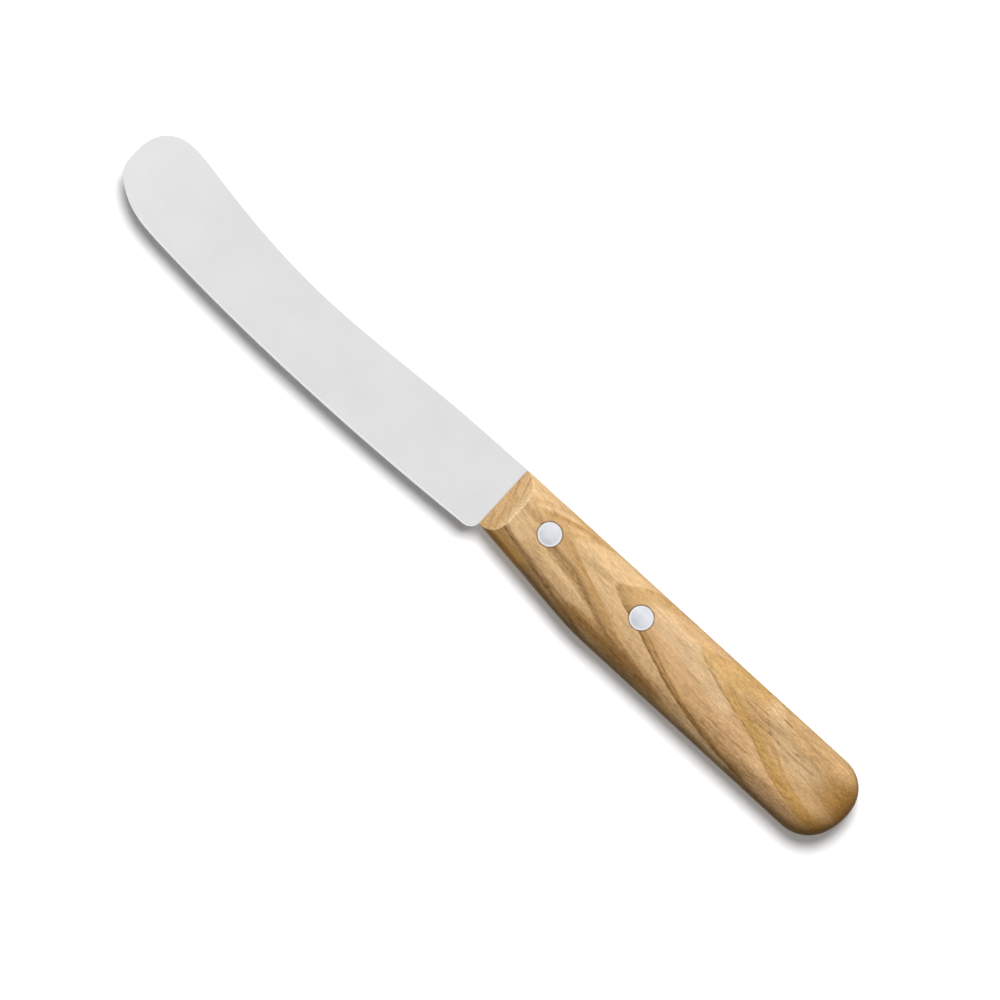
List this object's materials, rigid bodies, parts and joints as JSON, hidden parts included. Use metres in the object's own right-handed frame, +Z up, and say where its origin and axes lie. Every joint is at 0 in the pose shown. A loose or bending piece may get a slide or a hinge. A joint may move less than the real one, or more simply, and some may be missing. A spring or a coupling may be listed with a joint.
{
  "type": "butter knife",
  "caption": "Butter knife: thin satin steel blade with a humped round nose, its half tang riveted into a slotted olive wood handle with rolled edges and a bevelled front.",
  "frame": {"origin": "under the middle of the knife's outline, on the surface that it lies on, which is the plane of the handle's lower flat", "axes": "+X from the nose to the butt, +Y from the cutting edge to the spine, +Z up through the side of the knife"},
  "size_m": [0.2262, 0.0242, 0.012],
  "materials": {
    "blade_steel": "satin, fine polishing lines across the blade",
    "olive_wood": "oiled, satin, strongly figured",
    "rivet_metal": "ground flush, satin"
  },
  "bodies": {
    "root": {"blade": "blade_steel", "handle": "olive_wood", "front_rivet": "rivet_metal", "rear_rivet": "rivet_metal"}
  },
  "joints": []
}
